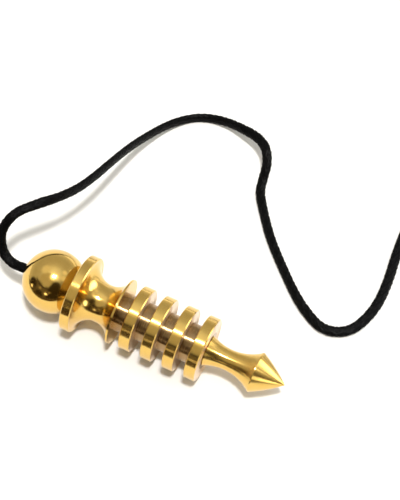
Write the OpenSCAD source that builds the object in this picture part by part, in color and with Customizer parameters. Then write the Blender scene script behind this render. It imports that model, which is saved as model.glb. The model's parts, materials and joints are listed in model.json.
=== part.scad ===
// Hand plumb bob of turned brass, lying on its side, with its braided line.
// A ball head screws onto a core that carries a flanged collar, four discs and a point.
// +X runs from the head to the tip, +Z is up, and the bob rests on the plane z = 0
// on its flange and its last disc. Lengths along the bob start at the ball's pole.

/* [Head] */
// Diameter of the ball head
ball_d = 14.6; // [14:0.1:15.4]
// Distance from the ball's pole to its flat seat
ball_seat = 12.9; // [12.6:0.1:13.2]
// Diameter of the hole that the line comes out of
line_hole_d = 2.5; // [2.3:0.1:3]
// Nominal diameter of the screw thread between head and core
thread_d = 5; // [4.8:0.1:5.4]
// Length of thread engaged when the head is screwed home
thread_len = 4.5; // [4:0.1:4.7]

/* [Collar] */
// Diameter of the flange
flange_d = 18; // [17:0.1:19]
// Thickness of the flange
flange_w = 2.3; // [2:0.1:3]
// Diameter of the edge where the flange's face meets the cove
crease_d = 16.4; // [15.8:0.1:16.8]
// Diameter at the narrowest part of the cove
waist_d = 9; // [8:0.1:10]
// Radius of the cove
cove_r = 4.4; // [4.2:0.1:4.6]
// Diameter of the thin rim at the end of the collar
rim_d = 15.4; // [15:0.1:15.8]
// Thickness of the thin rim
rim_w = 0.45; // [0.3:0.05:0.8]

/* [Barrel] */
// Diameter of the core between the discs
core_d = 9; // [8:0.1:9.6]
// Diameter of the discs
disc_d = 15; // [14:0.1:16]
// Thickness of each disc
disc_w = 2.6; // [2.2:0.1:3]
// Distance from one disc to the next
disc_pitch = 5.35; // [5:0.05:5.8]
// Gap between the thin rim and the first disc
first_gap = 2.6; // [2:0.1:3.2]
// Width of the bevels on the flange and the discs
edge_bevel = 0.2; // [0.1:0.05:0.3]

/* [Point] */
// Length of the stem from the last disc to the cone's rim
stem_len = 11.65; // [11:0.05:12.5]
// Diameter of the stem at its narrowest
stem_d = 4.8; // [4.4:0.1:5.2]
// Distance from the last disc to the narrowest part of the stem
stem_waist = 4.95; // [4.5:0.05:5.4]
// Diameter of the cone's rim
cone_d = 9.4; // [9:0.1:10]
// Length of the cone
cone_len = 7.1; // [6.5:0.1:8]
// Radius of the slight bulge of the cone's flank
cone_bulge_r = 35; // [25:1:60]
// Diameter of the shank that plugs into the core
shank_d = 4; // [3.6:0.1:4.4]
// Length of the shank
shank_len = 6; // [5:0.5:8]

/* [Line] */
// Diameter of the braided line
line_d = 2; // [1.8:0.1:2.1]
// Diameter of the knots in the line
knot_d = 4.6; // [4:0.1:4.8]
// Radius of the coil's outer turn at the middle of the line
coil_r = 12; // [11:0.5:13]
// Radius of the coil's open centre
coil_hole_r = 7.4; // [7:0.1:7.8]

/* [Hidden] */

disc_count = 4;
smooth = 96;
seat_gap = 0.1;        // clearance under the head when it is screwed home
thread_clearance = 0.05;
countersink = 0.45;    // width and depth of the flare at the line hole's mouth
drill_slope = 1.66;    // radius gained per unit of depth on a 118 degree drill point
bore_depth = 8.9;      // depth of the head's bore, from the seat
lead_in = 0.3;         // bevel at the mouth of a bore and the end of a shaft
root_bevel = 0.2;      // shadow line between the last disc and the stem
cone_land = 0.2;       // width of the cone's rim
tip_blunt = 0.1;       // length taken off the tip
knot_s = 5.6;          // where the stopper knot sits in the head's bore
knot_bite = 0.3;       // how far the end knot reaches into the coil
shank_gap = 0.1;       // clearance at the bottom of the shank's socket

ball_r = ball_d / 2;
flange_r = flange_d / 2;
crease_r = crease_d / 2;
waist_r = waist_d / 2;
rim_r = rim_d / 2;
core_r = core_d / 2;
disc_r = disc_d / 2;
stem_r = stem_d / 2;
cone_r = cone_d / 2;
thread_r = thread_d / 2;
shank_r = shank_d / 2;
line_r = line_d / 2;
hole_r = line_hole_d / 2;
knot_r = knot_d / 2;

// Stations along the bob, measured from the ball's pole
mouth_r = hole_r + countersink;
mouth_s = ball_r - sqrt(pow(ball_r, 2) - pow(mouth_r, 2));
bore_s = ball_seat - bore_depth;
thread_s = ball_seat - thread_len;
collar_s = ball_seat + seat_gap;
flange_face_s = collar_s + flange_w;
cove_s = flange_face_s + sqrt(pow(cove_r, 2) - pow(waist_r + cove_r - crease_r, 2));
rim_s = cove_s + sqrt(pow(cove_r, 2) - pow(waist_r + cove_r - rim_r, 2));
core_s = rim_s + rim_w;
first_disc_s = core_s + first_gap;
barrel_end_s = first_disc_s + (disc_count - 1) * disc_pitch + disc_w;
stem_s = barrel_end_s + stem_waist;
cone_s = barrel_end_s + stem_len;
tip_s = cone_s + cone_len;

// The bob leans on the last bevels of the flange and of the last disc
rest_span = barrel_end_s - flange_face_s;
tilt = atan((flange_r - disc_r) / rest_span);
pole_z = (flange_face_s - edge_bevel) * sin(tilt) + flange_r * cos(tilt);
pole_x = -(mouth_s * cos(tilt) - mouth_r * sin(tilt) + (tip_s - tip_blunt) * cos(tilt)) / 2;

// Where the line runs: out of the head, over in a springy arch to the floor, round one
// lifted bend and along the floor to the coil
line_route = [
    [-28.5, 0, 9.5], [-32, 0, 9.7], [-35.4, 0.2, 9.2], [-37.9, 1, 10], [-39.4, 2.4, 11.9],
    [-39.9, 4.2, 14.2], [-39.3, 6.5, 16.1], [-37.8, 9.2, 17.1], [-34.8, 12.7, 17.1],
    [-31.6, 17, 15.9], [-29.5, 21.7, 14], [-28, 27, 12.3], [-27, 33, 10], [-26, 39.5, 7],
    [-24.5, 45.5, 4.3], [-22, 51.5, 2.2], [-18.7, 55.8, 1.1], [-14.5, 58.2, 1],
    [-9.5, 58.7, 1.8], [-4.3, 57.6, 3.5], [0, 56.2, 4.6], [2.9, 54.1, 4.9], [4.6, 51.1, 3.9],
    [5.1, 48, 2.2], [5.8, 44.9, 1.1], [8.4, 40.8, 1], [13, 34.8, 1], [18.5, 29.1, 1],
    [24.2, 23.8, 1], [28.5, 20.7, 1], [32.6, 18.8, 1], [36.3, 19.1, 1], [39.3, 21.2, 1],
    [41.2, 25, 1], [42.2, 30, 1], [42.1, 36, 1], [41.4, 42, 1], [40.9, 48, 1], [40.5, 57, 1]
];
line_end = line_route[len(line_route) - 1];
coil_centre = [line_end[0] + coil_r, line_end[1], 0];
end_knot_centre = coil_centre + [0, knot_r - coil_hole_r - knot_bite, knot_r];
line_sides = 8;

brass = [0.83, 0.66, 0.3];
dull_brass = [0.66, 0.5, 0.3];
black = [0.06, 0.06, 0.07];

// Lays a piece drawn along +Z, from the ball's pole, down into the resting pose
module lay() {
    translate([pole_x, 0, pole_z]) rotate([0, 90 + tilt, 0]) children();
}

module turned() {
    rotate_extrude($fn = smooth) children();
}

// A half profile of the space inside a radius, from one station to another
module span(r, s0, s1) {
    translate([0, s0]) square([r, s1 - s0]);
}

module head_ball() {
    color(brass) lay() turned() difference() {
        intersection() {
            translate([0, ball_r]) circle(r = ball_r, $fn = smooth);
            span(ball_r, 0, ball_seat);
        }
        span(hole_r, 0, bore_s);
        polygon([[0, 0], [mouth_r, 0], [mouth_r, mouth_s], [hole_r, mouth_s + countersink],
                 [0, mouth_s + countersink]]);
        head_bore();
    }
}

// The stepless bore that is the knot's chamber and, at its mouth, the nut for the thread
module head_bore() {
    r = thread_r + thread_clearance;
    polygon([[0, bore_s - (r / drill_slope)], [r, bore_s], [r, ball_seat - lead_in],
             [r + lead_in, ball_seat], [0, ball_seat]]);
}

module neck_collar() {
    color(brass) lay() turned() difference() {
        union() {
            polygon([[thread_r, collar_s], [flange_r - edge_bevel, collar_s],
                     [flange_r, collar_s + edge_bevel], [flange_r, flange_face_s - edge_bevel],
                     [flange_r - edge_bevel, flange_face_s], [thread_r, flange_face_s]]);
            translate([thread_r, flange_face_s]) square([crease_r - thread_r, cove_r]);
            translate([thread_r, flange_face_s]) square([rim_r - thread_r, core_s - flange_face_s]);
        }
        intersection() {
            translate([waist_r + cove_r, cove_s]) circle(r = cove_r, $fn = smooth);
            translate([0, flange_face_s]) square([flange_d, 2 * cove_r]);
        }
    }
}

module core() {
    color(dull_brass) lay() turned() polygon([
        [0, thread_s], [thread_r - lead_in, thread_s], [thread_r, thread_s + lead_in],
        [thread_r, core_s], [core_r, core_s], [core_r, barrel_end_s],
        [shank_r, barrel_end_s], [shank_r, barrel_end_s - shank_len], [0, barrel_end_s - shank_len]
    ]);
}

// Disc number i, counted from the head
module disc(i) {
    s0 = first_disc_s + (i - 1) * disc_pitch;
    s1 = s0 + disc_w;
    color(brass) lay() turned() polygon([
        [core_r, s0], [disc_r - edge_bevel, s0], [disc_r, s0 + edge_bevel],
        [disc_r, s1 - edge_bevel], [disc_r - edge_bevel, s1], [core_r, s1]
    ]);
}

module point() {
    color(brass) lay() turned() {
        span(shank_r, barrel_end_s - shank_len + shank_gap, barrel_end_s);
        stem_profile();
        cone_profile();
    }
}

// The stem's flank is one arc, from the last disc to the cone's rim
module stem_profile() {
    rise = cone_r - stem_r;
    arc_r = (pow(cone_s - stem_s, 2) + pow(rise, 2)) / (2 * rise);
    root_r = stem_r + arc_r - sqrt(pow(arc_r, 2) - pow(stem_waist, 2));
    difference() {
        span(cone_r, barrel_end_s, cone_s);
        translate([stem_r + arc_r, stem_s]) circle(r = arc_r, $fn = 4 * smooth);
        polygon([[root_r - root_bevel, barrel_end_s], [cone_r, barrel_end_s],
                 [cone_r, barrel_end_s + root_bevel], [root_r, barrel_end_s + root_bevel]]);
    }
}

// The cone's flank bulges a little: an arc through the rim's edge and the tip
module cone_profile() {
    rim_end_s = cone_s + cone_land;
    length = tip_s - rim_end_s;
    chord = sqrt(pow(cone_r, 2) + pow(length, 2));
    inward = sqrt(pow(cone_bulge_r, 2) - pow(chord / 2, 2));
    span(cone_r, cone_s, rim_end_s);
    intersection() {
        translate([cone_r / 2 - inward * length / chord,
                   rim_end_s + length / 2 - inward * cone_r / chord])
            circle(r = cone_bulge_r, $fn = 4 * smooth);
        span(cone_r, rim_end_s, tip_s - tip_blunt);
    }
}

// The knot that stops the line inside the head
module stopper_knot() {
    color(black) lay() turned() knot_profile(knot_s);
}

module knot_profile(s) {
    intersection() {
        translate([0, s]) circle(r = knot_r, $fn = smooth);
        span(knot_r, s - knot_r, s + knot_r);
    }
}

module end_knot() {
    color(black) translate(end_knot_centre) turned() knot_profile(0);
}

// A flat coil of the line, drawn as the outer shape of its turns
module line_coil() {
    width = coil_r + line_r - coil_hole_r;
    color(black) translate(coil_centre) turned()
        translate([coil_hole_r, 0]) square([width, line_d]);
}

module line_run() {
    color(black) tube(smooth_path(line_route), line_r, line_sides);
}

function unit(v) = v / norm(v);

// A Catmull-Rom point between p[i] and p[i + 1]
function between(p, i, t) =
    let (a = p[max(i - 1, 0)], b = p[i], c = p[i + 1], d = p[min(i + 2, len(p) - 1)])
    0.5 * (2 * b + (c - a) * t + (2 * a - 5 * b + 4 * c - d) * pow(t, 2)
           + (3 * b - a - 3 * c + d) * pow(t, 3));

// A point no lower than a line that lies on the floor
function on_floor(v) = [v[0], v[1], max(v[2], line_r)];

// The route with one point added in the middle of each stretch
function smooth_path(p) = concat(
    [for (i = [0 : len(p) - 2]) for (t = [0, 0.5]) on_floor(between(p, i, t))],
    [p[len(p) - 1]]);

function heading(p, i) = unit(p[min(i + 1, len(p) - 1)] - p[max(i - 1, 0)]);

// One ring of the tube: its sides stay level with the floor
function ring(p, i, r, n) =
    let (ahead = heading(p, i), side = unit(cross([0, 0, 1], ahead)), up = cross(ahead, side))
    [for (k = [0 : n - 1]) p[i] + r * (cos(360 * k / n) * side + sin(360 * k / n) * up)];

module tube(p, r, n) {
    last = len(p) - 1;
    points = [for (i = [0 : last]) each ring(p, i, r, n)];
    walls = [for (i = [0 : last - 1]) for (k = [0 : n - 1])
        [i * n + k, i * n + (k + 1) % n, (i + 1) * n + (k + 1) % n, (i + 1) * n + k]];
    start_cap = [for (k = [n - 1 : -1 : 0]) k];
    end_cap = [for (k = [0 : n - 1]) last * n + k];
    polyhedron(points, concat([start_cap], walls, [end_cap]));
}

head_ball();
neck_collar();
core();
disc(1);  // disc_1
disc(2);  // disc_2
disc(3);  // disc_3
disc(4);  // disc_4
point();
stopper_knot();
line_run();
line_coil();
end_knot();
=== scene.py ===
"""Looks of the hand plumb bob: a turned brass bob on its side with its black braided line.

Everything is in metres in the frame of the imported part: +X from the head to the tip, +Z up,
and the sheet that it lies on is z = 0.
"""

import json
import math

import bpy
from mathutils import Matrix, Vector


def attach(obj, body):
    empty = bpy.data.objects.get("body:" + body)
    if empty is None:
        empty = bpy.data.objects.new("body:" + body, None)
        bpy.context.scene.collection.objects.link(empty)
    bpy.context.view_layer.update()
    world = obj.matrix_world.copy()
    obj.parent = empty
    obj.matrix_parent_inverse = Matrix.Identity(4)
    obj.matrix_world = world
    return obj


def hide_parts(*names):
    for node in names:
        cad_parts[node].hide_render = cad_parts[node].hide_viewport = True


MM = 0.001

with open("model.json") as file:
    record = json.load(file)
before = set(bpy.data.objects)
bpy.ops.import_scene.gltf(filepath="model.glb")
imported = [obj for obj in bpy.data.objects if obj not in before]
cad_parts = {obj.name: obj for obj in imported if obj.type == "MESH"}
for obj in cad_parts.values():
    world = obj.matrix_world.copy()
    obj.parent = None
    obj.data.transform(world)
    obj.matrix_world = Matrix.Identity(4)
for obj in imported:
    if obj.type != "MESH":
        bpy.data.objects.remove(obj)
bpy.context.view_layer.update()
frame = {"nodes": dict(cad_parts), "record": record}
scene = bpy.context.scene
mounts = {m["name"]: m for m in frame["record"]["mounts"]}
POLE = Vector(mounts["line_exit"]["pos_m"])
AXIS = Vector(mounts["tip"]["axis"]).normalized()
SIDE = Vector((0, 1, 0))
OVER = AXIS.cross(SIDE)


def on_bob(s, r=0.0, angle=0.0):
    """A point at distance s from the ball's pole, r from the axis. Angle 0 is the +Y side."""
    return POLE + AXIS * s + SIDE * (r * math.cos(angle)) + OVER * (r * math.sin(angle))


# ---------------------------------------------------------------- camera
def make_camera():
    """Looks down on the bob from its near side, as fitted to the photograph's outlines."""
    place = Vector((0.08364, -0.13911, 0.35465))
    right = Vector((0.90288, 0.42961, -0.01562)).normalized()
    up = Vector((-0.37451, 0.80388, 0.46208))
    back = right.cross(up).normalized()
    up = back.cross(right)
    camera = bpy.data.objects.new("camera", bpy.data.cameras.new("camera"))
    scene.collection.objects.link(camera)
    turn = Matrix((right, up, back)).transposed().to_4x4()
    camera.matrix_world = Matrix.Translation(place) @ turn
    camera.data.sensor_fit = "HORIZONTAL"
    camera.data.sensor_width = 36
    camera.data.lens = 154.4
    camera.data.clip_start = 0.01
    camera.data.clip_end = 20
    camera.data.dof.use_dof = False
    scene.camera = camera


# ---------------------------------------------------------------- mesh helpers
def new_piece(name, verts, faces, material, smooth=True):
    """An object in the scene from its verts and faces, with one material."""
    mesh = bpy.data.meshes.new(name)
    mesh.from_pydata([tuple(v) for v in verts], [], faces)
    mesh.validate()
    mesh.materials.append(material)
    if smooth:
        mesh.polygons.foreach_set("use_smooth", [True] * len(mesh.polygons))
    mesh.update()
    piece = bpy.data.objects.new(name, mesh)
    scene.collection.objects.link(piece)
    return piece


def between(p, i, t):
    """A Catmull-Rom point between p[i] and p[i + 1]."""
    a, b, c, d = p[max(i - 1, 0)], p[i], p[i + 1], p[min(i + 2, len(p) - 1)]
    return 0.5 * (2 * b + (c - a) * t + (2 * a - 5 * b + 4 * c - d) * t ** 2
                  + (3 * b - a - 3 * c + d) * t ** 3)


def curve_through(points, steps):
    """The smooth line through all the points, with so many steps between each two."""
    run = [between(points, i, k / steps) for i in range(len(points) - 1) for k in range(steps)]
    return run + [points[-1]]


def even_steps(points, step):
    """The same line with its points an even distance apart."""
    lengths = [0.0]
    for a, b in zip(points, points[1:]):
        lengths.append(lengths[-1] + (b - a).length)
    count = max(2, round(lengths[-1] / step))
    out, i = [], 0
    for k in range(count + 1):
        want = lengths[-1] * k / count
        while i < len(points) - 2 and lengths[i + 1] < want:
            i += 1
        part = (want - lengths[i]) / max(lengths[i + 1] - lengths[i], 1e-12)
        out.append(points[i].lerp(points[i + 1], min(max(part, 0.0), 1.0)))
    return out


def length_of(points):
    return sum((b - a).length for a, b in zip(points, points[1:]))


def frames_along(points):
    """For each point, a sideways and an upward direction that don't spin about the line."""
    heading = [(points[min(i + 1, len(points) - 1)] - points[max(i - 1, 0)]).normalized()
               for i in range(len(points))]
    side = Vector((0, 0, 1)).cross(heading[0]).normalized()
    out = []
    for ahead in heading:
        side = (side - ahead * side.dot(ahead)).normalized()
        out.append((side, ahead.cross(side)))
    return out


def sweep(points, ring_radius, sides):
    """Verts and faces of a closed tube. ring_radius(i, angle) gives the distance of each vert."""
    frames = frames_along(points)
    verts = []
    for i, (p, (side, up)) in enumerate(zip(points, frames)):
        for k in range(sides):
            angle = math.tau * k / sides
            r = ring_radius(i, angle)
            verts.append(p + side * (r * math.cos(angle)) + up * (r * math.sin(angle)))
    faces = [(i * sides + k, i * sides + (k + 1) % sides,
              (i + 1) * sides + (k + 1) % sides, (i + 1) * sides + k)
             for i in range(len(points) - 1) for k in range(sides)]
    last = (len(points) - 1) * sides
    faces.append(tuple(reversed(range(sides))))
    faces.append(tuple(last + k for k in range(sides)))
    return verts, faces


# ---------------------------------------------------------------- node helpers
class Nodes:
    """A short way to write the nodes of a material or of the world."""

    def __init__(self, owner, kind="Material"):
        owner.use_nodes = True
        self.owner = owner
        self.tree = owner.node_tree
        self.tree.nodes.clear()
        self.out = self.tree.nodes.new("ShaderNodeOutput" + kind)

    def surface(self, shader):
        """Sends the shader to the output and gives back the finished material or world."""
        self.feed(self.out.inputs["Surface"], shader.outputs[0])
        return self.owner

    def add(self, kind, **inputs):
        """A new node, with its inputs named as in Blender."""
        node = self.tree.nodes.new("ShaderNode" + kind)
        for key, value in inputs.items():
            self.feed(node.inputs[key], value)
        return node

    def feed(self, socket, value):
        """Links another node's output to the socket, or sets its own value."""
        if isinstance(value, bpy.types.NodeSocket):
            self.tree.links.new(value, socket)
        else:
            socket.default_value = value

    def math(self, operation, a, b=0.0, c=0.0):
        node = self.tree.nodes.new("ShaderNodeMath")
        node.operation = operation
        for socket, value in zip(node.inputs, (a, b, c)):
            self.feed(socket, value)
        return node.outputs[0]

    def vector(self, operation, a, b=None):
        node = self.tree.nodes.new("ShaderNodeVectorMath")
        node.operation = operation
        self.feed(node.inputs[0], a)
        if b is not None:
            self.feed(node.inputs[1], b)
        return node.outputs["Value" if operation == "DOT_PRODUCT" else "Vector"]

    def ramp(self, factor, *stops):
        """A colour ramp. Each stop is a place and a grey value or a colour."""
        node = self.tree.nodes.new("ShaderNodeValToRGB")
        elements = node.color_ramp.elements
        while len(elements) < len(stops):
            elements.new(0.5)
        for element, (place, value) in zip(elements, stops):
            element.position = place
            grey = isinstance(value, (int, float))
            element.color = (value, value, value, 1) if grey else (*value, 1)
        self.feed(node.inputs[0], factor)
        return node.outputs[0]

    def noise(self, where, scale, detail, roughness):
        node = self.tree.nodes.new("ShaderNodeTexNoise")
        self.feed(node.inputs["Vector"], where)
        node.inputs["Scale"].default_value = scale
        node.inputs["Detail"].default_value = detail
        node.inputs["Roughness"].default_value = roughness
        return node.outputs["Fac"]

    def mix(self, factor, a, b):
        """A blend of two colours. Inputs 6 and 7 and output 2 are the node's colour sockets."""
        node = self.tree.nodes.new("ShaderNodeMix")
        node.data_type = "RGBA"
        self.feed(node.inputs["Factor"], factor)
        self.feed(node.inputs[6], a)
        self.feed(node.inputs[7], b)
        return node.outputs[2]

    def bump(self, height, distance, strength):
        node = self.tree.nodes.new("ShaderNodeBump")
        node.inputs["Strength"].default_value = strength
        node.inputs["Distance"].default_value = distance
        self.feed(node.inputs["Height"], height)
        return node.outputs["Normal"]


# ---------------------------------------------------------------- materials
def turned_places(n):
    """Where a point lies on the bob, and the directions that matter on a turned face.

    Gives the place, the distance along the axis and from it, the direction across the lathe's
    rings, and the face's normal.
    """
    here = n.add("TexCoord").outputs["Object"]
    from_pole = n.vector("SUBTRACT", here, tuple(POLE))
    s = n.vector("DOT_PRODUCT", from_pole, tuple(AXIS))
    side = n.vector("DOT_PRODUCT", from_pole, tuple(SIDE))
    over = n.vector("DOT_PRODUCT", from_pole, tuple(OVER))
    r = n.math("SQRT", n.math("ADD", n.math("MULTIPLY", side, side),
                              n.math("MULTIPLY", over, over)))
    around = n.vector("CROSS_PRODUCT", tuple(AXIS), from_pole)
    to_world = n.add("VectorTransform", Vector=around)
    to_world.vector_type = "VECTOR"
    to_world.convert_from, to_world.convert_to = "OBJECT", "WORLD"
    normal = n.add("NewGeometry").outputs["Normal"]
    return here, s, r, n.vector("CROSS_PRODUCT", to_world.outputs[0], normal), normal


def brass(name, base, stained, rough, stretched, rings, scratch, in_groove=None):
    """Turned brass. The lathe's rings follow the bob's own axis, over fine random scratches.

    rough is the roughness, stretched how far the rings draw the highlights out, and rings and
    scratch how high the two kinds of marks stand. in_groove is the colour and added roughness of
    the faces square to the axis; the colour is painted shading, a paler, pinker tone for the
    blurred shading on the disc walls.
    """
    n = Nodes(bpy.data.materials.new(name))
    here, s, r, across_rings, normal = turned_places(n)
    on_lathe = n.add("CombineXYZ", X=s, Y=r).outputs[0]
    lathe = n.noise(on_lathe, scale=9000, detail=3.0, roughness=0.65)
    lathe_wide = n.noise(on_lathe, scale=1300, detail=2.0, roughness=0.5)
    smear = n.noise(here, scale=160, detail=4.0, roughness=0.6)
    drawn_out = n.vector("MULTIPLY", here, (0.35, 2.4, 1.0))
    fine = n.noise(drawn_out, scale=5200, detail=2.0, roughness=0.7)
    patches = n.noise(here, scale=420, detail=5.0, roughness=0.65)
    tarnish = n.ramp(patches, (0.38, 0.0), (0.72, 1.0))
    colour = n.mix(n.math("MULTIPLY", tarnish, 0.5), (*base, 1), (*stained, 1))
    colour = n.mix(n.math("MULTIPLY", lathe_wide, 0.18), colour, (*stained, 1))
    uneven = n.math("ADD", n.math("MULTIPLY", smear, 0.55), n.math("MULTIPLY", lathe, 0.45))
    roughness = n.math("MULTIPLY_ADD", uneven, rough * 0.9, rough * 0.55)
    if in_groove:
        facing = n.math("ABSOLUTE", n.vector("DOT_PRODUCT", normal, tuple(AXIS)))
        # painted shading: faces square to the axis take the paler, pinker in_groove colour
        wall = n.ramp(facing, (0.80, 0.0), (0.97, 1.0))
        colour = n.mix(wall, colour, (*in_groove[0], 1))
        roughness = n.math("ADD", roughness, n.math("MULTIPLY", wall, in_groove[1]))
    shader = n.add("BsdfPrincipled")
    shader.inputs["Metallic"].default_value = 1.0
    shader.inputs["Anisotropic"].default_value = stretched
    n.feed(shader.inputs["Tangent"], across_rings)
    n.feed(shader.inputs["Base Color"], colour)
    n.feed(shader.inputs["Roughness"], roughness)
    height = n.math("ADD", n.math("MULTIPLY", lathe, rings), n.math("MULTIPLY", fine, scratch))
    n.feed(shader.inputs["Normal"], n.bump(height, distance=0.00001, strength=0.6))
    return n.surface(shader)


def braid(name):
    """Black polyester braid: near-black yarns with a soft sheen and a few greyer fibres."""
    n = Nodes(bpy.data.materials.new(name))
    here = n.add("TexCoord").outputs["Object"]
    fibres = n.noise(here, scale=9000, detail=3.0, roughness=0.7)
    patches = n.noise(here, scale=600, detail=3.0, roughness=0.6)
    worn = n.math("ADD", n.math("MULTIPLY", fibres, 0.6), n.math("MULTIPLY", patches, 0.4))
    colour = n.ramp(worn, (0.35, (0.0007, 0.0007, 0.0009)), (0.62, (0.0022, 0.0022, 0.0025)),
                    (0.8, (0.011, 0.011, 0.012)))
    shader = n.add("BsdfPrincipled")
    n.feed(shader.inputs["Base Color"], colour)
    n.feed(shader.inputs["Roughness"], n.math("MULTIPLY_ADD", fibres, 0.24, 0.20))
    shader.inputs["Specular IOR Level"].default_value = 0.07
    n.feed(shader.inputs["Normal"], n.bump(fibres, distance=0.00004, strength=0.7))
    return n.surface(shader)


def sheet_white(name):
    """Matt white paper, a little uneven."""
    n = Nodes(bpy.data.materials.new(name))
    here = n.add("TexCoord").outputs["Object"]
    cloud = n.noise(here, scale=40, detail=3.0, roughness=0.5)
    colour = n.mix(cloud, (0.87, 0.865, 0.86, 1), (0.9, 0.895, 0.89, 1))
    shader = n.add("BsdfPrincipled")
    n.feed(shader.inputs["Base Color"], colour)
    shader.inputs["Roughness"].default_value = 0.8
    shader.inputs["Specular IOR Level"].default_value = 0.2
    return n.surface(shader)


def table_reflection_glow(name):
    """A painted reflection of a dark table top: a brown glow, with streaks of lighter grain."""
    n = Nodes(bpy.data.materials.new(name))
    here = n.add("TexCoord").outputs["Object"]
    along_grain = n.vector("MULTIPLY", here, (6.0, 60.0, 1.0))
    grain = n.noise(along_grain, scale=1.0, detail=3.0, roughness=0.5)
    # painted reflection: the card glows brown and grained instead of being lit
    glow = n.add("Emission")
    n.feed(glow.inputs["Color"], n.ramp(grain, (0.3, (0.04, 0.03, 0.015)),
                                        (0.7, (0.14, 0.10, 0.05))))
    return n.surface(glow)


# ---------------------------------------------------------------- the line
LINE_D = 2.0 * MM
LINE_LENGTH = 0.300
# From inside the head, out over an arch, and along the sheet to the coil, in mm
ROUTE = [
    (-28.5, 0, 9.5), (-32, 0, 9.7), (-35.4, 0.2, 9.2), (-37.9, 1, 10), (-39.4, 2.4, 11.9),
    (-39.9, 4.2, 14.2), (-39.3, 6.5, 16.1), (-37.8, 9.2, 17.1), (-34.8, 12.7, 17.1),
    (-31.6, 17, 15.9), (-29.5, 21.7, 14), (-28, 27, 12.3), (-27, 33, 10), (-26, 39.5, 7),
    (-24.5, 45.5, 4.3), (-22, 51.5, 2.2), (-18.7, 55.8, 1.1), (-14.5, 58.2, 1),
    (-9.5, 58.7, 1.8), (-4.3, 57.6, 3.5), (0, 56.2, 4.6), (2.9, 54.1, 4.9), (4.6, 51.1, 3.9),
    (5.1, 48, 2.2), (5.8, 44.9, 1.1), (8.4, 40.8, 1), (13, 34.8, 1), (18.5, 29.1, 1),
    (24.2, 23.8, 1), (28.5, 20.7, 1), (32.6, 18.8, 1), (36.3, 19.1, 1), (39.3, 21.2, 1),
    (41.2, 25, 1), (42.2, 30, 1), (42.1, 36, 1), (41.4, 42, 1), (40.9, 48, 1), (40.5, 57, 1),
]
COIL_CENTRE = Vector((52.5, 57, 0)) * MM
COIL_R = 12.0 * MM
COIL_STEP = 2.06 * MM
COIL_POINTS = 96
# The line's last stretch leaves the coil inward and rises to the knot
TAIL = 9 * MM
TAIL_INWARD = 3.0 * MM
TAIL_RISE = 1.0 * MM
KNOT_R = 2.3 * MM
KNOT_PLACE = COIL_CENTRE + Vector((0, -5.4 * MM, KNOT_R))
STOPPER_FROM_POLE = 5.6 * MM


def line_centre():
    """Along the route, then inward round the flat coil, clockwise seen from above, to its knot."""
    points = curve_through([Vector(p) * MM for p in ROUTE], 8)
    for p in points:
        p.z = max(p.z, LINE_D / 2)
    left = LINE_LENGTH - length_of(points)
    k = 0
    while left > 0:
        k += 1
        turn = k / COIL_POINTS
        inward = max(0.0, 1 - left / TAIL)
        radius = COIL_R - COIL_STEP * turn - TAIL_INWARD * inward * inward * (3 - 2 * inward)
        angle = math.pi - math.tau * turn
        lift = TAIL_RISE * inward * inward
        p = COIL_CENTRE + Vector((radius * math.cos(angle), radius * math.sin(angle),
                                  LINE_D / 2 + lift))
        step = (p - points[-1]).length
        if step >= left:
            points.append(points[-1].lerp(p, left / step))
            break
        points.append(p)
        left -= step
    return points


# How far the wide side of the flat braid leans from level, at distances along the line in mm
FLAT_LEANS = [(0, 0), (24, 0), (32, 72), (42, 80), (52, 90), (66, 90), (76, 82), (88, 65),
              (98, 20), (108, 20), (118, 42), (134, 48), (145, 28), (156, 12), (190, 15), (400, 60)]


def flat_angles(points, step):
    """For each point, where the braid's wide side points in the frame of frames_along."""
    angles, leg = [], 0
    for i, (side, up) in enumerate(frames_along(points)):
        along = i * step / MM
        while leg < len(FLAT_LEANS) - 2 and along > FLAT_LEANS[leg + 1][0]:
            leg += 1
        (d0, a0), (d1, a1) = FLAT_LEANS[leg:leg + 2]
        part = (along - d0) / (d1 - d0)
        lean = a0 + (a1 - a0) * part * part * (3 - 2 * part)
        level = Vector((0, 0, 1)).cross(side.cross(up)).normalized()
        angles.append(math.atan2(level.dot(up), level.dot(side)) + math.radians(lean))
    return angles


# The braid: its yarns each way, the length of one turn of a yarn, and, as parts of the line's
# radius, the valleys between the yarns, their height above these, and how flat the braid is
YARNS = 4
YARN_PITCH = 11.0 * MM
VALLEY, RELIEF, FLATNESS = 0.77, 0.23, 0.22


def make_line(material):
    """The braided line: yarns that wind both ways and pass over and under each other."""
    step, sides = 0.16 * MM, 32
    points = even_steps(line_centre(), step)
    wide = flat_angles(points, step)

    def ring_radius(i, angle):
        u = math.tau * i * step / YARN_PITCH
        one_way = math.cos(YARNS * (angle + u))
        other_way = math.cos(YARNS * (angle - u))
        # 1 where the yarns that wind one way lie on top, 0 where the others do
        over = 0.5 + 0.5 * math.tanh(2.5 * math.sin(YARNS * angle) * math.sin(YARNS * u))
        crest = over * abs(one_way) ** 0.8 + (1 - over) * abs(other_way) ** 0.8
        flat = FLATNESS * math.cos(2 * (angle - wide[i]))
        return LINE_D / 2 * (VALLEY + RELIEF * crest + flat)

    verts, faces = sweep(points, ring_radius, sides)
    just_over_sheet = 0.02 * MM
    for v in verts:
        v.z = max(v.z, just_over_sheet)
    piece = new_piece("braided_line", verts, faces, material)
    return piece, points


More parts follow.
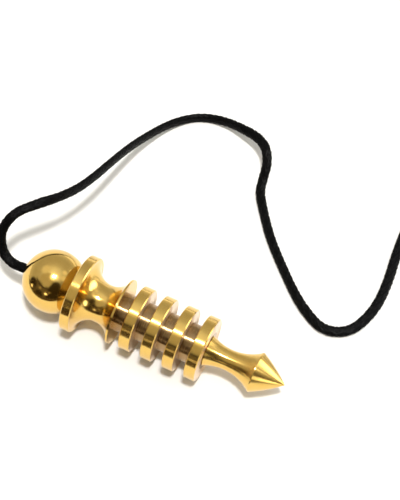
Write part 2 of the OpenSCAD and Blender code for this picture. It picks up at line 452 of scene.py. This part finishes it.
def knot_tube(name, centre_at, heading, size, material):
    """A pulled-tight overhand knot that fits in a ball of the given radius."""
    wide, tall, strand = size * 0.23, size * 0.42, size * 0.40
    side = heading.orthogonal().normalized()
    up = heading.cross(side)
    loop, count = [], 96
    for k in range(count + 1):
        a = math.tau * k / count
        x = math.sin(a) + 2 * math.sin(2 * a)
        y = math.cos(a) - 2 * math.cos(2 * a)
        z = -math.sin(3 * a)
        loop.append(centre_at + side * (x * wide) + up * (y * wide) + heading * (z * tall))

    def ring_radius(i, angle):
        u = i * 0.5
        crest = abs(math.cos(YARNS * angle + u) * math.cos(YARNS * angle - u))
        return strand * (0.93 + 0.07 * crest)

    verts, faces = sweep(even_steps(loop, 0.12 * MM), ring_radius, 24)
    return new_piece(name, verts, faces, material)


# ---------------------------------------------------------------- the core
# Distances from the ball's pole and radii, in mm
THREAD_FROM, THREAD_TO, THREAD_PITCH, THREAD_DEPTH = 8.4, 13.0, 0.8, 0.40
# How near the crest (1) or the root (0) of the thread its flats begin
CREST_FLAT, ROOT_FLAT = 0.94, 0.12
SPIGOT_R, SPIGOT_BEVEL = 2.5, 0.45
CORE_FROM, CORE_TO, CORE_R = 24.327, 45.577, 4.5
SOCKET_R, SOCKET_DEPTH = 2.0, 6.0


def make_core(material):
    """The core with a real screw thread on the spigot that the head turns on."""
    sides, step = 64, 0.08
    span = THREAD_TO - THREAD_FROM
    count = round(span / step)
    # a ring without a radius takes it from the thread
    profile = [(THREAD_FROM + span * k / count, None) for k in range(count + 1)]
    profile += [(THREAD_TO, SPIGOT_R), (CORE_FROM, SPIGOT_R), (CORE_FROM, CORE_R),
                (CORE_TO, CORE_R), (CORE_TO, SOCKET_R), (CORE_TO - SOCKET_DEPTH, SOCKET_R)]
    verts = []
    for s, r in profile:
        for k in range(sides):
            turn = k / sides
            at = r if r is not None else thread_radius(s, turn)
            verts.append(on_bob(s * MM, at * MM, math.tau * turn))
    faces = [(i * sides + k, (i + 1) * sides + k, (i + 1) * sides + (k + 1) % sides,
              i * sides + (k + 1) % sides)
             for i in range(len(profile) - 1) for k in range(sides)]
    last = (len(profile) - 1) * sides
    faces.append(tuple(range(sides)))
    faces.append(tuple(reversed([last + k for k in range(sides)])))
    piece = new_piece("core_turned", verts, faces, material)
    piece.data.set_sharp_from_angle(angle=math.radians(35))
    return piece


def thread_radius(s, turn):
    """A right-hand thread with small flats, run out at the spigot's bevelled end."""
    along = (s - THREAD_FROM) / THREAD_PITCH - turn
    near_crest = abs((along % 1.0) - 0.5) * 2
    part = (CREST_FLAT - near_crest) / (CREST_FLAT - ROOT_FLAT)
    cut = min(max(part, 0.0), 1.0) * THREAD_DEPTH
    bevel = max(0.0, SPIGOT_BEVEL - (s - THREAD_FROM))
    return SPIGOT_R - max(cut, bevel)


# ---------------------------------------------------------------- light and floor
SUN_FROM = Vector((0.148, -0.102, 1.0)).normalized()


def make_light():
    """One soft lamp, high up and a little towards the tip and the near side."""
    sun = bpy.data.objects.new("lamp", bpy.data.lights.new("lamp", "SUN"))
    scene.collection.objects.link(sun)
    sun.rotation_mode = "QUATERNION"
    sun.rotation_quaternion = SUN_FROM.to_track_quat("Z", "Y")
    sun.data.energy = 2.6
    sun.data.angle = math.radians(7)
    sun.data.color = (1.0, 0.98, 0.95)


def direction(azimuth, elevation):
    """Azimuth counts from +X towards +Y, in degrees."""
    a, e = math.radians(azimuth), math.radians(elevation)
    return (math.cos(a) * math.cos(e), math.sin(a) * math.cos(e), math.sin(e))


# What stands around the bob: azimuth, elevation, radius of the even part and of the soft edge,
# all in degrees, and how bright it is. Later ones lie over earlier ones.
DARK = (0.040, 0.028, 0.013)
BROWN = (0.15, 0.125, 0.08)
WINDOW = (5.0, 5.0, 4.8)
ROOM = [
    # walls
    (-115, 62, 22, 27, (0.58, 0.54, 0.43)), (-15, 28, 16, 28, (0.36, 0.34, 0.28)),
    # furniture on the near side, and the dark gaps in it
    (-97, 8, 22, 30, BROWN), (-125, 16, 20, 28, BROWN), (-38, 14, 20, 28, BROWN),
    (-62, 30, 18, 24, DARK), (-50, 45, 13, 20, DARK), (-146, 12, 13, 18, DARK),
    (-70, 4, 16, 22, DARK), (-112, 4, 10, 15, DARK), (-92, 36, 3, 7, BROWN),
    # windows
    (36, 14, 15, 18, WINDOW), (22, 20, 7, 10, WINDOW), (-31, 7, 9, 11, (4.0, 4.0, 3.7)),
    # soft glows high up on the far side
    (39, 48, 5, 10, (1.1, 1.06, 0.95)), (8, 50, 6, 12, (1.0, 0.96, 0.85)),
    (165, 60, 9, 18, (0.95, 0.93, 0.86)),
    # small lights among the furniture
    (-90, 14, 0.7, 1.5, (4.0, 3.6, 3.0)), (-143, 2.5, 0.5, 1.2, (3.0, 2.8, 2.4)),
    (-116, 24, 2.5, 5, (0.6, 0.5, 0.36)), (-78, 22, 1.5, 4, (0.4, 0.33, 0.2)),
    # the glow round the lamp on the ceiling
    (-66, 77, 6, 11, (2.0, 1.9, 1.65)),
]


def make_world():
    """The room as the brass mirrors it: brightness by height, then the things in ROOM."""
    n = Nodes(bpy.data.worlds.new("room"), "World")
    d = n.add("TexCoord").outputs["Generated"]
    apart = n.add("SeparateXYZ", Vector=d)
    up = apart.outputs["Z"]
    colour = n.ramp(up, (0.0, (0.80, 0.79, 0.76)), (0.12, (0.64, 0.63, 0.58)),
                    (0.32, (0.53, 0.515, 0.46)), (0.66, (0.57, 0.555, 0.50)),
                    (0.82, (0.68, 0.68, 0.65)), (0.93, (0.98, 1.0, 1.0)),
                    (1.0, (1.10, 1.14, 1.16)))
    for azimuth, elevation, inside, outside, radiance in ROOM:
        toward = n.vector("DOT_PRODUCT", d, direction(azimuth, elevation))
        patch = n.ramp(toward, (math.cos(math.radians(outside)), 0.0),
                       (math.cos(math.radians(inside)), 1.0))
        colour = n.mix(patch, colour, (*radiance, 1))
    # a dark beam crosses the near side
    beam = n.ramp(up, (0.50, 0.0), (0.53, 1.0), (0.56, 1.0), (0.59, 0.0))
    near = n.ramp(n.vector("DOT_PRODUCT", d, (-0.2, -0.98, 0.0)), (0.45, 0.0), (0.6, 1.0))
    colour = n.mix(n.math("MULTIPLY", beam, near), colour, (*DARK, 1))
    back = n.add("Background", Strength=1.0)
    n.feed(back.inputs["Color"], colour)
    scene.world = n.surface(back)


def level_card(name, half_width, from_y, to_y, z, material):
    """A level rectangle of the stage."""
    corners = [(-half_width, from_y, z), (half_width, from_y, z),
               (half_width, to_y, z), (-half_width, to_y, z)]
    return new_piece(name, corners, [(0, 1, 2, 3)], material, smooth=False)


def make_dark_table():
    """On the near side, where the sheet ends, a glowing card paints the reflection of a dark table
    top.
    """
    table = level_card("dark_table", 0.9, -0.9, -0.062, 0.0004, table_reflection_glow("dark_table"))
    # hidden from the camera, from diffuse light and from shadows, the card's painted glow shows
    # only in the brass
    table.visible_camera = False
    table.visible_diffuse = False
    table.visible_shadow = False


def make_floor():
    floor = level_card("white_sheet", 0.6, -0.6, 0.6, 0.0, sheet_white("white_sheet"))


# ---------------------------------------------------------------- the part
make_camera()
black_braid = braid("black_braid")
line, line_points = make_line(black_braid)
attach(line, "line")
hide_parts("line_run", "line_coil")

end_knot = knot_tube("end_knot_tied", KNOT_PLACE, Vector((0, 0, 1)), KNOT_R * 1.05, black_braid)
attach(end_knot, "line")
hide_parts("end_knot")
stopper = knot_tube("stopper_knot_tied", on_bob(STOPPER_FROM_POLE), AXIS, KNOT_R * 0.98,
                    black_braid)
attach(stopper, "line")
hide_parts("stopper_knot")

GOLD, STAIN = (0.77, 0.515, 0.145), (0.69, 0.42, 0.095)
DULL_GOLD, DULL_STAIN = (0.38, 0.25, 0.12), (0.28, 0.17, 0.075)
# a paler, pinker colour painted on the disc walls as their blurred shading
WALL_PAINTED_SHADING = (0.74, 0.56, 0.38)
polished_brass = brass("polished_brass", GOLD, STAIN, rough=0.12, stretched=0.3, rings=0.35,
                       scratch=0.5)
collar_brass = brass("collar_brass", GOLD, STAIN, rough=0.155, stretched=0.9, rings=0.9,
                     scratch=0.7)
turned_brass = brass("turned_brass", GOLD, STAIN, rough=0.22, stretched=0.95, rings=0.45,
                     scratch=0.35)
disc_brass = brass("disc_brass", GOLD, STAIN, rough=0.20, stretched=0.93, rings=0.5,
                   scratch=0.3, in_groove=(WALL_PAINTED_SHADING, 0.12))
dull_brass = brass("dull_brass", DULL_GOLD, DULL_STAIN, rough=0.26, stretched=0.93, rings=0.6,
                   scratch=0.4)
LOOKS = {"head_ball": polished_brass, "neck_collar": collar_brass, "point": turned_brass,
         "disc_1": disc_brass, "disc_2": disc_brass, "disc_3": disc_brass, "disc_4": disc_brass}
for node, material in LOOKS.items():
    cad = frame["nodes"][node]
    cad.data.materials.clear()
    cad.data.materials.append(material)

core = make_core(dull_brass)
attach(core, "bob")
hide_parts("core")

make_floor()
make_dark_table()
make_light()
make_world()
scene.view_settings.view_transform = "Standard"
